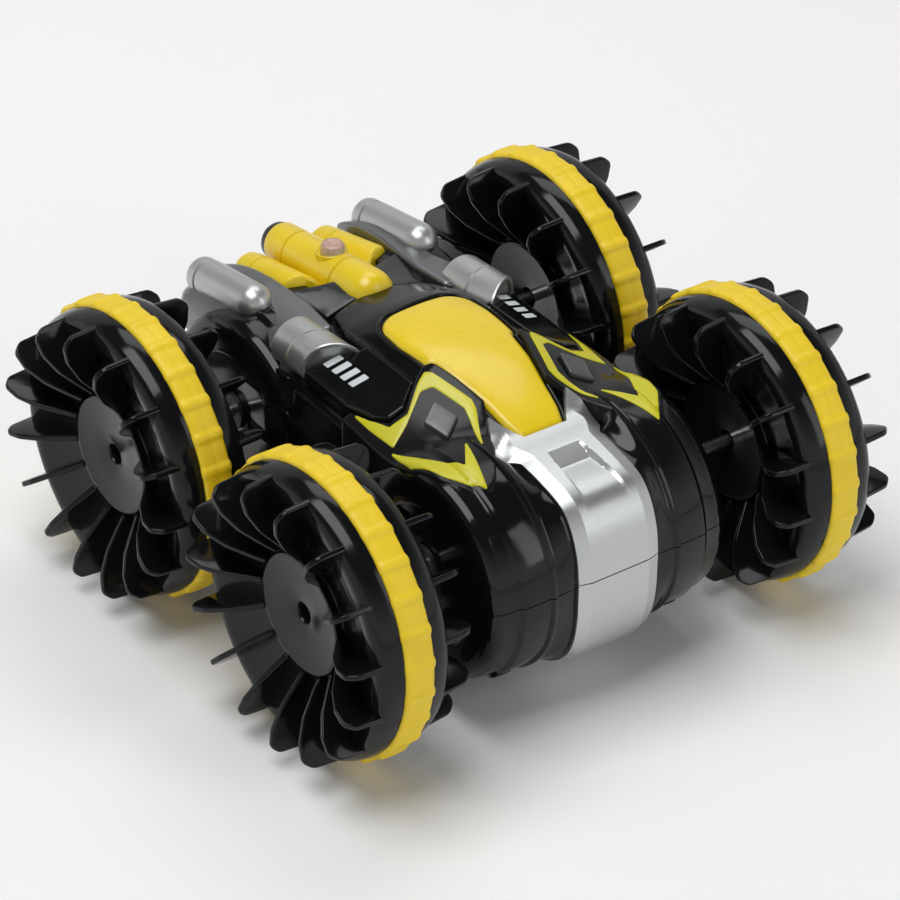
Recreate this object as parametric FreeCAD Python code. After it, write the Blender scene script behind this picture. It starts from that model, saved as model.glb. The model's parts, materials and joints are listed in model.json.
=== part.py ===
"""RC stunt car, double-sided and four-wheel driven.

Frame: millimetres, +X to the nose, +Y to the car's left, +Z up.  The origin is
the middle of the car on the axle plane, half-way between the four wheels.
"""
import math
import os

import FreeCAD
import Part

V = FreeCAD.Vector

# ---------------------------------------------------------------- driving sizes
WHEELBASE = 106.8            # front axle to rear axle
TRACK = 166.4                # middle of the left tyre bands to the right ones
AXLE_X = WHEELBASE / 2
WHEEL_Y = TRACK / 2

TYRE_R = 50.0                # tread surface
TYRE_SEAT_R = 46.5           # where the band sits on the two hub halves
TYRE_W = 10.4
RIB_COUNT = 28
RIB_H = 0.7
RIB_W = 3.6                  # along the tread

FIN_COUNT = 15               # paddles on each face of a wheel
FIN_T = 1.8
FIN_OUT = 23.4               # paddle tip, from the middle of the band
HUB_WALL = 1.8
DISC_R = 20.2
SCREW_HOLE_R = 3.6
SCREW_HOLE_FLOOR = 4.4       # where the axle ends, from the middle of the band

AXLE_R = 2.0
RUN_FIT = 0.06               # radial clearance of a turning fit
MODULE = 0.6
GEAR_T, PINION_T = 36, 12
GEAR_GAP = MODULE * (GEAR_T + PINION_T) / 2
BACKLASH = 0.10
PLANE_OUT = (38.2, 41.4)     # final-drive gear, distances from the centre line
PLANE_IN = (34.2, 37.2)      # first reduction
BOX_Y = (32.0, 43.4)         # gearbox, side to side
BOX_WALL = 1.4
PIN_R = 1.2

BARREL_R = 38.0              # body barrels round the axles
BARREL_Z = -4.0              # their middle, a little under the axle plane
BODY_Y = 46.0                # half width of the body
NOSE_Y = 15.5                # half width of the nose and of the tail
WALL = 2.0
SEAM_Z = 0.0                 # upper shell meets lower shell
NOSE_SEAM_Z = 1.5
POD_Y = 33.2

BUTTON_X, BUTTON_R, BUTTON_TOP = -62.5, 4.0, 43.0
BIG = 200.0                  # larger than the car, for cutting with half spaces
DOOR_X, DOOR_Y = 17.0, 31.0  # half sizes of the battery door
BELLY_Z = -40.0

WHEELS = {                   # name: (x sign, y sign, angle of one paddle)
    "front_right": (1, -1, 201.7),
    "rear_right": (-1, -1, 192.3),
    "front_left": (1, 1, 355.6),
    "rear_left": (-1, 1, 351.8),
}


# -------------------------------------------------------------------- helpers
def face_of(points):
    return Part.Face(Part.makePolygon(points + points[:1]))


def prism(points, axis, low, high):
    """Extrude a closed outline, given in the two other axes, along one axis."""
    if axis == "x":
        flat, run = [V(low, a, b) for a, b in points], V(high - low, 0, 0)
    elif axis == "y":
        flat, run = [V(a, low, b) for a, b in points], V(0, high - low, 0)
    else:
        flat, run = [V(a, b, low) for a, b in points], V(0, 0, high - low)
    return face_of(flat).extrude(run)


def block(x, y, z):
    return Part.makeBox(x[1] - x[0], y[1] - y[0], z[1] - z[0], V(x[0], y[0], z[0]))


def rod(start, end, radius):
    run = V(*end) - V(*start)
    return Part.makeCylinder(radius, run.Length, V(*start), run)


def lathe(points):
    """Turn an (r, y) outline about the Y axis."""
    return face_of([V(r, y, 0) for r, y in points]).revolve(V(0, 0, 0), V(0, 1, 0), 360)


def skin_loft(sections):
    """Join (x, [(y, z), ...]) sections by straight lines into one solid."""
    wires = [Part.makePolygon([V(x, y, z) for y, z in ring + ring[:1]])
             for x, ring in sections]
    return Part.makeLoft(wires, True, True)


def union(shapes):
    shapes = list(shapes)
    return shapes[0].multiFuse(shapes[1:]).removeSplitter() if shapes[1:] else shapes[0]


def mirrored_y(shape):
    return shape.mirror(V(0, 0, 0), V(0, 1, 0))


def save(name, shape):
    if shape.ShapeType != "Solid" and len(shape.Solids) == 1:
        shape = shape.Solids[0]
    if not shape.isValid() or not shape.Solids:
        print("check", name, shape.isValid(), len(shape.Solids))
    shape.exportStep("parts/%s.step" % name)


# ---------------------------------------------------------------------- gears
def gear(teeth, low, high, bore, phase):
    """Involute spur gear on the Y axis, one tooth centred on the phase angle."""
    pitch, base = MODULE * teeth / 2, MODULE * teeth / 2 * math.cos(math.radians(20))
    tip, root = pitch + 0.95 * MODULE, pitch - 1.25 * MODULE
    half = math.pi / 2 / teeth - BACKLASH / 2 / pitch
    inv = math.tan(math.radians(20)) - math.radians(20)

    def flank(r):
        if r <= base:
            return half + inv
        a = math.acos(base / r)
        return half + inv - (math.tan(a) - a)

    radii = [root, max(base, root + 0.05), pitch, (pitch + tip) / 2, tip]
    points = []
    for k in range(teeth):
        mid = math.radians(phase) + 2 * math.pi * k / teeth
        for side, rs in ((-1, radii), (1, radii[::-1])):
            for r in rs:
                a = mid + side * flank(r)
                points.append(V(r * math.cos(a), low, r * math.sin(a)))
    return face_of(points).extrude(V(0, high - low, 0)).cut(
        rod((0, low - 1, 0), (0, high + 1, 0), bore))


# --------------------------------------------------------------------- wheels
def hub_half():
    """Outer half of a wheel, turned round the Y axis, outward along +Y.

    A dished disc sits in a trough whose far wall climbs to a rounded shoulder
    beside the tyre; the paddles stand in the trough.
    """
    t, boss = HUB_WALL, AXLE_R + 3.2
    outside = [(TYRE_SEAT_R, 0), (TYRE_SEAT_R, TYRE_W / 2), (48.6, TYRE_W / 2), (48.4, 8),
               (47.6, 10.8), (46, 12.8), (43.5, 13.4), (40, 12.9), (32, 10.5),
               (DISC_R + 0.4, 8.2), (DISC_R + 0.2, 10.2), (DISC_R - 0.8, 10.4), (12, 9.5),
               (SCREW_HOLE_R, 8.6), (SCREW_HOLE_R, SCREW_HOLE_FLOOR),
               (AXLE_R, SCREW_HOLE_FLOOR)]
    inside = [(AXLE_R, 0), (boss, 0), (boss, 7.0), (12, 7.7), (DISC_R - 1.4, 8.5),
              (DISC_R - 1.2, 6.2), (32, 10.5 - t), (40, 12.9 - t), (43.3, 13.4 - t),
              (45, 11.3), (46, 10), (TYRE_SEAT_R - t, 5), (TYRE_SEAT_R - t, 0)]
    drum = lathe(inside + outside)
    paddle = [(DISC_R + 0.4, 10.5), (25, 14.2), (30, 18.8), (36, 22.0), (40, 23.2),
              (42.3, FIN_OUT), (44.3, 22.6), (45.8, 20.6), (46.6, 17), (47.1, 9.6),
              (46, 11.4), (43, 12.4), (40, 11.9), (32, 9.6), (DISC_R + 0.4, 7.4)]
    fin = face_of([V(r, y, -FIN_T / 2) for r, y in paddle]).extrude(V(0, 0, FIN_T))
    fins = []
    for k in range(FIN_COUNT):
        one = fin.copy()
        one.rotate(V(0, 0, 0), V(0, 1, 0), -360.0 * k / FIN_COUNT)
        fins.append(one)
    return drum.multiFuse(fins).removeSplitter()


def tyre():
    half = TYRE_W / 2
    band = lathe([(TYRE_SEAT_R, -half), (TYRE_R - 1.0, -half), (TYRE_R, -half + 2),
                  (TYRE_R, half - 2), (TYRE_R - 1.0, half), (TYRE_SEAT_R, half)])
    rib = prism([(48.8, -half), (TYRE_R - 0.5, -half), (TYRE_R + RIB_H, -half + 2.2),
                 (TYRE_R + RIB_H, half - 2.2), (TYRE_R - 0.5, half), (48.8, half)],
                "z", -RIB_W / 2, RIB_W / 2)
    ribs = []
    for k in range(RIB_COUNT):
        one = rib.copy()
        one.rotate(V(0, 0, 0), V(0, 1, 0), 360.0 * k / RIB_COUNT)
        ribs.append(one)
    return band.multiFuse(ribs).removeSplitter()


def placed(shape, x, y, turn=0.0):
    """Copy a part built round the Y axis on to an axle, turned by an angle."""
    shape = shape.copy()
    shape.rotate(V(0, 0, 0), V(0, 1, 0), -turn)
    shape.translate(V(x, y, 0))
    return shape


def drive_unit(name, sx, sy, paddle_angle, half, band):
    """Everything from one motor out to its wheel."""
    ax, to_mid = sx * AXLE_X, -sx

    def span(plane):
        return (plane[0], plane[1]) if sy > 0 else (-plane[1], -plane[0])

    outer = half if sy > 0 else mirrored_y(half)
    inner = mirrored_y(half) if sy > 0 else half
    save("hub_outer_" + name, placed(outer, ax, sy * WHEEL_Y, paddle_angle))
    save("hub_inner_" + name, placed(inner, ax, sy * WHEEL_Y, paddle_angle))
    save("tyre_" + name, placed(band, ax, sy * WHEEL_Y))
    tip = WHEEL_Y + SCREW_HOLE_FLOOR
    save("axle_" + name, rod((ax, sy * (BOX_Y[0] + 0.2), 0), (ax, sy * tip, 0), AXLE_R))

    towards = 0.0 if to_mid > 0 else 180.0
    low, high = span(PLANE_OUT)
    save("output_gear_" + name,
         placed(gear(GEAR_T, low, high, AXLE_R, towards), ax, 0))
    cx = ax + to_mid * GEAR_GAP
    big = gear(GEAR_T, *span(PLANE_IN), PIN_R + RUN_FIT, towards)
    small = gear(PINION_T, *span((PLANE_IN[1], PLANE_OUT[1] + 0.2)), PIN_R + RUN_FIT,
                 towards + 180.0 + 180.0 / PINION_T)
    save("idler_gear_" + name, placed(big.fuse(small).removeSplitter(), cx, 0))

    mx = cx + to_mid * GEAR_GAP
    low, high = span((PLANE_IN[0] - 0.1, PLANE_IN[1] + 0.3))
    pinion = gear(PINION_T, low, high, 1.0, towards + 180.0 + 180.0 / PINION_T)
    shaft = rod((0, sy * 18.0, 0), (0, sy * (PLANE_IN[1] + 0.8), 0), 1.0)
    save("motor_pinion_" + name, placed(pinion.fuse(shaft).removeSplitter(), mx, 0))

    y0 = BOX_Y[0] - 25.2
    can = rod((mx, sy * y0, 0), (mx, sy * BOX_Y[0], 0), 10.0).common(
        block((mx - 11, mx + 11), sorted((sy * y0, sy * BOX_Y[0])), (-7.6, 7.6)))
    can = can.fuse(rod((mx, sy * (y0 - 1.6), 0), (mx, sy * (y0 + 1), 0), 3.5))
    can = can.cut(rod((mx, sy * 17.0, 0), (mx, sy * 34.0, 0), 1.0 + RUN_FIT))
    save("motor_" + name, can.removeSplitter())

    xs = sorted((ax - to_mid * 13.6, mx + to_mid * 10.5))
    ys = sorted((sy * BOX_Y[0], sy * BOX_Y[1]))
    frame = block(xs, ys, (-13.6, 11.0))
    room = block((xs[0] + BOX_WALL, xs[1] - BOX_WALL),
                 (ys[0] + BOX_WALL, ys[1] - BOX_WALL), (-13.6 + BOX_WALL, 12.0))
    frame = frame.cut(room).fuse(rod((cx, ys[0] + 0.5, 0), (cx, ys[1] - 0.5, 0), PIN_R))
    for x, r in ((ax, AXLE_R + RUN_FIT), (mx, 0.0)):
        if r:
            frame = frame.cut(rod((x, ys[0] - 1, 0), (x, ys[1] + 1, 0), r))
    frame = frame.cut(rod((mx, sy * (BOX_Y[0] - 1), 0), (mx, sy * (BOX_Y[0] + 3), 0), 3.0))
    save("gearbox_" + name, frame.removeSplitter())


# ----------------------------------------------------------------------- body
def barrel(x, inset, y0, y1):
    return rod((x, y0, BARREL_Z), (x, y1, BARREL_Z), BARREL_R - inset)


NOSE_SIDE = [(30, 27), (62, 29.6), (72, 27.6), (80.5, 23.4), (86.6, 17), (90.6, 8), (91, -14),
             (88.6, -23), (83, -30.5), (75, -36), (64, -39), (30, -39)]
TAIL_SIDE = [(-30, 21), (-72, 21), (-84, 17), (-90, 8), (-92, -2), (-91, -14),
             (-88.6, -23), (-83, -30.5), (-75, -36), (-64, -39), (-30, -39)]
MID_HALF = [(36, BELLY_Z), (42, -34), (BODY_Y, -22), (BODY_Y, 20), (41, 26.5), (30, 32)]


def inset_outline(points, d):
    """Shrink a convex outline by d, by moving each side inward."""
    out, n = [], len(points)
    area = sum(points[i][0] * points[(i + 1) % n][1] - points[(i + 1) % n][0] * points[i][1]
               for i in range(n))
    s = 1 if area > 0 else -1
    for i in range(n):
        lines = []
        for a, b in ((points[i - 1], points[i]), (points[i], points[(i + 1) % n])):
            dx, dy = b[0] - a[0], b[1] - a[1]
            length = math.hypot(dx, dy)
            nx, ny = -s * dy / length, s * dx / length
            lines.append((nx, ny, nx * a[0] + ny * a[1] + d))
        (a1, b1, c1), (a2, b2, c2) = lines
        det = a1 * b2 - a2 * b1
        out.append(((c1 * b2 - c2 * b1) / det, (a1 * c2 - a2 * c1) / det))
    return out


def core(d):
    """Filled body without its covers, shrunk by d."""
    ring = MID_HALF + [(-y, z) for y, z in MID_HALF[::-1]]
    shapes = [prism(inset_outline(ring, d), "x", -52.0 - d, 46.0 + d)]
    for x in (-AXLE_X, AXLE_X):
        for s in (-1, 1):
            lo, hi = sorted((s * 10.0, s * (BODY_Y - d)))
            shapes.append(barrel(x, d, lo, hi))
    shapes.append(prism(inset_outline(NOSE_SIDE, d), "y", -NOSE_Y + d, NOSE_Y - d))
    shapes.append(prism(inset_outline(TAIL_SIDE, d), "y", -22 + d, 22 - d))
    hood = [(-38, 20), (-38 + d, 29 - d), (-24, 38.4 - d), (-12, 41.6 - d), (4, 43 - d),
            (18, 41.6 - d), (32, 37.6 - d), (46 - d, 31.5 - d), (46 - d, 20)]
    plan = [(-40, 19), (-22, 23), (10, 24), (48, 17)]
    plan = inset_outline(plan + [(x, -y) for x, y in plan[::-1]], d)
    shapes.append(prism(hood, "y", -25, 25).common(prism(plan, "z", 20, 50)))
    return union(shapes)


def engine_tubes(inset):
    """The one large and two small tubes of the engine, climbing to the canopy."""
    tubes = [rod((-93 + inset, 0, 28.3), (-34.5 - inset, 0, 35.1), 8.1 - inset)]
    tubes += [rod((-90.5 + inset, s * 15, 24.2), (-58 - inset, s * 15, 30.7), 6.4 - inset)
              for s in (-1, 1)]
    return union(tubes + [block((-90 + inset, -52 - inset), (-14, 14), (17, 27 - inset))])


def pod_capsule(sy, radius=6.4):
    a, b = (-91.2, sy * POD_Y, 28.5), (-60.0, sy * POD_Y, 33.3)
    return union([rod(a, b, radius), Part.makeSphere(radius, V(*b))])


def pod_intake(sy, radius, start=0.0):
    """A tube along the car with its mouth swept back towards the outside."""
    a, b = V(-38, sy * POD_Y, 30.5), V(-4, sy * POD_Y, 32.5)
    run = (b - a).normalize()
    a = a + run * start
    tube = Part.makeCylinder(radius, (b - a).Length, a, run)
    swept = prism([(-60, sy * 10), (0.3, sy * 10), (-24.5, sy * 50), (-60, sy * 50)], "z", 0, 60)
    return tube.common(swept)


def both(make):
    """Right and left versions of a piece made for one side."""
    return {"right": make(-1), "left": make(1)}


def sided(sy, ring):
    return [(sy * y, z) for y, z in ring]


def build_body():
    solid = core(0.0)
    hollow = core(WALL)
    shell = solid.cut(hollow)
    bores = union(rod((x, s * 30, 0), (x, s * 50, 0), 5.0) for x in (-AXLE_X, AXLE_X)
                  for s in (-1, 1))
    shell = shell.cut(bores)

    # silver nose: a skin over the top, front and underside of the central bow
    bow = [(40, 34.6), (52, 32.6), (62, 32.2), (73, 30.2), (82, 25.6), (88.6, 18.4),
           (93.2, 9), (93.6, -14), (91, -24.2), (84.6, -32.8), (76, -38.6), (64, -41.4),
           (44, -41.4), (44, 20), (40, 20)]
    nose = prism(bow, "y", -NOSE_Y, NOSE_Y)
    horns = union(prism([(42, 30), (43.5, 37.4), (54, 32.2), (54, 30)], "y", *sorted(
        (s * 11.6, s * NOSE_Y))) for s in (-1, 1))
    nose = nose.fuse(horns).cut(solid)

    # yellow canopy
    side = [(-15.8, 30), (-15.8, 40.6), (-8, 43.4), (4, 44.6), (18, 43.3), (32, 39.3),
            (44, 34.9), (52.6, 31.2), (52.6, 26)]
    plan = [(-15.8, 14), (-12, 17), (10, 18.4), (30, 15.2), (41, 11.6), (52.6, 8)]
    plan = plan + [(x, -y) for x, y in plan[::-1]]
    canopy = prism(side, "y", -20, 20).common(prism(plan, "z", 20, 50)).cut(solid)
    nose = nose.cut(prism(side, "y", -20, 20).common(prism(plan, "z", 20, 50)))
    # the recess pressed into the bow
    nose = nose.cut(prism([(61.5, 33), (65, 30.4), (81, 24.6), (84.5, 26), (84, 34)], "y", -7, 7))
    canopy = max(canopy.Solids, key=lambda s: s.Volume)

    # yellow engine cover with the button's well and room for the switch, and its end cap
    well = rod((BUTTON_X, 0, 32), (BUTTON_X, 0, 50), BUTTON_R + 0.35).fuse(
        block((BUTTON_X - 6.5, BUTTON_X + 6.5), (-5.5, 5.5), (16, 28.6)))
    engine_cover = engine_tubes(0).cut(solid).cut(engine_tubes(WALL)).cut(well)
    engine_cover = max(engine_cover.Solids, key=lambda s: s.Volume)
    cap = rod((-96.2, 0, 27.93), (-93, 0, 28.3), 6.6)

    # gunmetal shoulders and what they carry
    def shoulder(sy):
        rings = [(-95.0, [(23, 0), (40, 0), (41, 14), (23, 16)]),
                 (-86.0, [(22.2, 0), (44, 0), (44, 22), (22.2, 27)]),
                 (-74.0, [(22.2, 0), (45.8, 0), (45.8, 28), (22.2, 33)]),
                 (-52.0, [(22.2, 0), (45.8, 0), (45.8, 30), (22.2, 35.2)]),
                 (-34.0, [(24.6, 0), (45.8, 0), (45.8, 26), (24.6, 34.2)])]
        skin = skin_loft([(x, sided(sy, r)) for x, r in rings])
        edge = block((-96, -33), sorted((sy * 20, sy * 50)), (8, 60))
        return skin.common(edge).cut(solid)

    shoulders = both(shoulder)
    pods, intakes = {}, {}
    for side_name, sy in (("right", -1), ("left", 1)):
        panel = max(shoulders[side_name].Solids, key=lambda s: s.Volume)
        shoulders[side_name] = panel
        pods[side_name] = pod_capsule(sy).cut(solid).cut(panel)
        tube = pod_intake(sy, 8.8).cut(pod_intake(sy, 7.7, 16.0))
        intakes[side_name] = tube.cut(solid).cut(panel)
        pods[side_name] = max(pods[side_name].Solids, key=lambda s: s.Volume)
        intakes[side_name] = max(intakes[side_name].Solids, key=lambda s: s.Volume)

    # black shields beside the canopy
    def shield(sy):
        rings = [(4.0, [(38, 10), (45, 10), (45, 28.6), (38, 32.4)]),
                 (15.0, [(19.6, 10), (47, 10), (47, 29), (19.6, 43)]),
                 (32.0, [(18.2, 10), (47, 10), (47, 29.4), (18.2, 40.4)]),
                 (48.0, [(16.0, 10), (46, 10), (46, 32.4), (16.0, 36.2)]),
                 (58.0, [(18.0, 10), (44, 10), (44, 34), (18.0, 35.4)]),
                 (70.0, [(31, 10), (34.5, 10), (34.5, 30.6), (31, 30.8)])]
        return skin_loft([(x, sided(sy, r)) for x, r in rings]).cut(solid).cut(canopy).cut(
            nose)
    shields = both(shield)
    shields = {k: max(s.Solids, key=lambda q: q.Volume) for k, s in shields.items()}

    # shells: split on the axle plane, posts and screw bosses added
    boss_at = [(x, s * y) for x, y in ((-76.0, 33.0), (0.0, 40.0), (76.0, 33.0)) for s in (-1, 1)]
    posts, screws, tunnels = [], [], []
    for x, y in boss_at:
        posts.append(rod((x, y, -45), (x, y, 30), 3.6))
        screws += [rod((x, y, -29), (x, y, -27), 2.6).fuse(rod((x, y, -27), (x, y, 8), 1.2))]
        tunnels.append(rod((x, y, -60), (x, y, -27), 2.7).fuse(rod((x, y, -27), (x, y, 8.4), 1.2)))
    posts = [p.common(solid) for p in posts]
    seats = [block(sorted((sx * 30, sx * 64)), sorted((sy * 33, sy * 42)), (-45, -13.6)).common(
        solid) for sx in (-1, 1) for sy in (-1, 1)]
    upper = block((-BIG, BIG), (-BIG, BIG), (SEAM_Z, BIG))
    lower = block((-BIG, BIG), (-BIG, BIG), (-BIG, SEAM_Z))
    board_posts = [rod((x, y, 16.6), (x, y, 45), 2.2).common(solid) for x in (-16, 16)
                   for y in (-14, 14)]
    top_shell = union([shell] + [p.common(upper) for p in posts] + board_posts).common(upper)
    low_shell = union([shell] + [p.common(lower) for p in posts] + seats).common(lower)
    tunnel = union(tunnels)
    top_shell, low_shell = top_shell.cut(tunnel), low_shell.cut(tunnel)
    top_shell = top_shell.cut(rod((BUTTON_X, 0, 10), (BUTTON_X, 0, 40), 3.2))
    nose = nose.cut(tunnel)

    # battery bay: a way out of the belly, closed by its door on a seal
    way = block((-DOOR_X, DOOR_X), (-DOOR_Y, DOOR_Y), (-50, -30))
    ledge = block((-DOOR_X - 3, DOOR_X + 3), (-DOOR_Y - 3, DOOR_Y + 3), (-38.0, -34.4))
    low_shell = low_shell.fuse(ledge).cut(
        block((-DOOR_X + 2.5, DOOR_X - 2.5), (-DOOR_Y + 2.5, DOOR_Y - 2.5), (-50, -30)))
    low_shell = low_shell.cut(block((-DOOR_X, DOOR_X), (-DOOR_Y, DOOR_Y), (-50, -36.2)))
    door = block((-DOOR_X + 0.25, DOOR_X - 0.25), (-DOOR_Y + 0.25, DOOR_Y - 0.25),
                 (BELLY_Z, -37.4))
    seal = block((-DOOR_X + 0.25, DOOR_X - 0.25), (-DOOR_Y + 0.25, DOOR_Y - 0.25),
                 (-37.4, -36.2)).cut(
        block((-DOOR_X + 2.5, DOOR_X - 2.5), (-DOOR_Y + 2.5, DOOR_Y - 2.5), (-38, -36)))
    door_screws = []
    for s in (-1, 1):
        y = s * (DOOR_Y - 4.4)
        low_shell = low_shell.fuse(rod((0, y, -36.2), (0, y, -30), 3.2))
        door = door.cut(rod((0, y, -41), (0, y, -38.6), 2.6)).cut(
            rod((0, y, -41), (0, y, -37), 1.2))
        low_shell = low_shell.cut(rod((0, y, -37), (0, y, -31), 1.1))
        seal = seal.cut(rod((0, y, -38), (0, y, -36), 1.3))
        door_screws.append(rod((0, y, -39.8), (0, y, -38.6), 2.4).fuse(
            rod((0, y, -38.6), (0, y, -31.4), 1.1)))
    cells = union(rod((x, -22.5, -26.4), (x, 22.5, -26.4), 7.2) for x in (-7.3, 7.3))
    battery = cells.fuse(block((-7.3, 7.3), (-22.5, 22.5), (-33.6, -19.2))).fuse(
        block((-9, 9), (-12, 12), (-37.4, -33.0)))

    board = block((-24, 24), (-19, 19), (15.0, 16.6))
    for x, y, sx, sy_, h in ((-12, 6, 10, 10, 2.2), (4, -8, 7, 12, 1.6), (8, 9, 5, 4, 4.5),
                             (17, -12, 4, 6, 3.0), (-18, -10, 5, 8, 2.4)):
        board = board.fuse(block((x - sx / 2, x + sx / 2), (y - sy_ / 2, y + sy_ / 2),
                                 (15.0 - h, 15.0)))
    switch = block((BUTTON_X - 6, BUTTON_X + 6), (-5, 5), (21.0, 28)).fuse(
        rod((BUTTON_X, 0, 27), (BUTTON_X, 0, 33.2), 2.4))

    bushes = union(rod((x, s * 43.4, 0), (x, s * 46.0, 0), 5.0).fuse(
        rod((x, s * 46.0, 0), (x, s * 47.4, 0), 6.6)) for x in (-AXLE_X, AXLE_X)
        for s in (-1, 1)).cut(union(rod((x, s * 40, 0), (x, s * 50, 0), AXLE_R + RUN_FIT)
                                    for x in (-AXLE_X, AXLE_X) for s in (-1, 1)))

    button = rod((BUTTON_X, 0, BUTTON_TOP - 7.4), (BUTTON_X, 0, BUTTON_TOP), BUTTON_R)

    save("upper_shell", top_shell)
    save("lower_shell", low_shell)
    save("canopy", canopy)
    save("nose_guard_upper", nose.common(block((-BIG, BIG), (-BIG, BIG), (NOSE_SEAM_Z, BIG))))
    save("nose_guard_lower", nose.common(block((-BIG, BIG), (-BIG, BIG), (-BIG, NOSE_SEAM_Z))))
    save("engine_cover", engine_cover)
    save("engine_end_cap", cap)
    save("power_button", button)
    save("power_switch", switch)
    for side_name in ("right", "left"):
        save("shoulder_panel_" + side_name, shoulders[side_name])
        save("rear_pod_" + side_name, pods[side_name])
        save("intake_pod_" + side_name, intakes[side_name])
        save("side_shield_" + side_name, shields[side_name])
    save("battery_pack", battery)
    save("battery_door", door)
    save("battery_seal", seal)
    save("circuit_board", board)
    save("shell_screws", Part.makeCompound(screws))
    save("door_screws", Part.makeCompound(door_screws))
    save("axle_bushes", bushes)


os.makedirs("parts", exist_ok=True)
wheel_half, wheel_band = hub_half(), tyre()
for wheel, (sx, sy, angle) in WHEELS.items():
    drive_unit(wheel, sx, sy, angle, wheel_half, wheel_band)
build_body()
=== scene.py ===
"""Looks of the RC stunt car.  Metres, +X to the nose, +Y to the car's left, +Z up."""
import json
import math

import bmesh
import bpy
from mathutils import Matrix, Vector, geometry


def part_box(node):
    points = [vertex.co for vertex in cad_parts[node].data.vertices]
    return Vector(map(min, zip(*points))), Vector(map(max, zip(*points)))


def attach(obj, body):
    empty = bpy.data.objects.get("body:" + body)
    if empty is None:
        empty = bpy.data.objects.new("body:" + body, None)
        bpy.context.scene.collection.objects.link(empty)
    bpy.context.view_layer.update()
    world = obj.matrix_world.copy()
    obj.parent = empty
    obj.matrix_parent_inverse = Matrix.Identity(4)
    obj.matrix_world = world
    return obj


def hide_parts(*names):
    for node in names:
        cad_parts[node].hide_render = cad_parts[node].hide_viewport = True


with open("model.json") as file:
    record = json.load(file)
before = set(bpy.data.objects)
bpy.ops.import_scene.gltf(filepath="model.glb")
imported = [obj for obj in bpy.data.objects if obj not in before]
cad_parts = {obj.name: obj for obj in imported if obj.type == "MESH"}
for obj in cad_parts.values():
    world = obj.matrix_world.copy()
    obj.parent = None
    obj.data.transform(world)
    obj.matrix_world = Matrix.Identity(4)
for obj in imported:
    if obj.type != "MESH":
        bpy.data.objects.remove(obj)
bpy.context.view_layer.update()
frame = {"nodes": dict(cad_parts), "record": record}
MM = 0.001

# ------------------------------------------------------------ sizes, millimetres
JOINTS = {j["name"]: j for j in frame["record"]["behaviour"]["joints"]}
AXLE_X = JOINTS["wheel_spin_front_left"]["pos_m"][0] / MM
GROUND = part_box("tyre_front_left")[0][2] / MM
TYRE_R, TYRE_W, RIBS = 50.0, 10.4, 28
FINS, FIN_OUT, DISC_R = 15, 23.4, 20.2
BARREL_R, BARREL_Z, BODY_Y = 38.0, -4.0, 46.0
NOSE_Y = 15.5
POD_Y = 33.2
BUTTON_X, BUTTON_TOP = -62.5, 43.0
PADDLE_ANGLE = {"front_right": 201.7, "rear_right": 192.3, "front_left": 355.6,
                "rear_left": 351.8}
SIDES = {"right": -1, "left": 1}
TAIL_Y = 21.0
DECK_MID, DECK_LENGTH = -3.0, 98.0
BELLY_Z = -39.95             # the flat underside
BEAD_Y = 23.0                # out from the middle, the barrels' raised bead
WELL_R = 2.7                 # wells of the six shell screws

# ------------------------------------------------- camera: degrees, metres, millimetres
CAMERA_AZ, CAMERA_EL, CAMERA_ROLL = 53.31, 33.76, 0.91
CAMERA_DISTANCE, CAMERA_LENS = 1.4589, 180.9
CAMERA_AIM = Vector((5.9, -1.7, -0.6)) * MM


# --------------------------------------------------------------------- materials
class Shader:
    """A Principled material and short calls for the nodes that feed it."""

    def __init__(self, name, colour, rough, metal=0.0, coat=0.0, coat_rough=0.03, ior=1.5,
                 specular=0.5):
        self.mat = bpy.data.materials.new(name)
        self.mat.use_nodes = True
        self.tree = self.mat.node_tree
        self.bsdf = self.tree.nodes["Principled BSDF"]
        self.set("Base Color", (*colour, 1))
        self.set("Roughness", rough)
        self.set("Metallic", metal)
        self.set("Coat Weight", coat)
        self.set("Coat Roughness", coat_rough)
        self.set("IOR", ior)
        self.set("Specular IOR Level", specular)
        self.coords = self.tree.nodes.new("ShaderNodeTexCoord").outputs["Object"]
        self.colour, self.rough = colour, rough

    def set(self, socket, value):
        self.bsdf.inputs[socket].default_value = value

    def link(self, a, b):
        self.tree.links.new(a, b)

    def noise(self, scale, detail=4.0, stretch=(1, 1, 1)):
        place = self.tree.nodes.new("ShaderNodeMapping")
        place.inputs["Scale"].default_value = stretch
        self.link(self.coords, place.inputs["Vector"])
        n = self.tree.nodes.new("ShaderNodeTexNoise")
        n.inputs["Scale"].default_value = scale
        n.inputs["Detail"].default_value = detail
        self.link(place.outputs["Vector"], n.inputs["Vector"])
        return n.outputs["Fac"]

    def ranged(self, fac, low, high, start=0.3, end=0.7):
        r = self.tree.nodes.new("ShaderNodeMapRange")
        for key, v in (("From Min", start), ("From Max", end), ("To Min", low), ("To Max", high)):
            r.inputs[key].default_value = v
        self.link(fac, r.inputs["Value"])
        return r.outputs["Result"]

    def tint(self, fac, other):
        m = self.tree.nodes.new("ShaderNodeMix")
        m.data_type = "RGBA"
        self.link(fac, m.inputs["Factor"])
        m.inputs["A"].default_value = (*self.colour, 1)
        m.inputs["B"].default_value = (*other, 1)
        self.link(m.outputs["Result"], self.bsdf.inputs["Base Color"])

    def roughen(self, fac, spread):
        self.link(self.ranged(fac, self.rough - spread, self.rough + spread),
                  self.bsdf.inputs["Roughness"])

    def bump(self, fac, strength, depth):
        b = self.tree.nodes.new("ShaderNodeBump")
        b.inputs["Strength"].default_value = strength
        b.inputs["Distance"].default_value = depth
        self.link(fac, b.inputs["Height"])
        self.link(b.outputs["Normal"], self.bsdf.inputs["Normal"])


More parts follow.
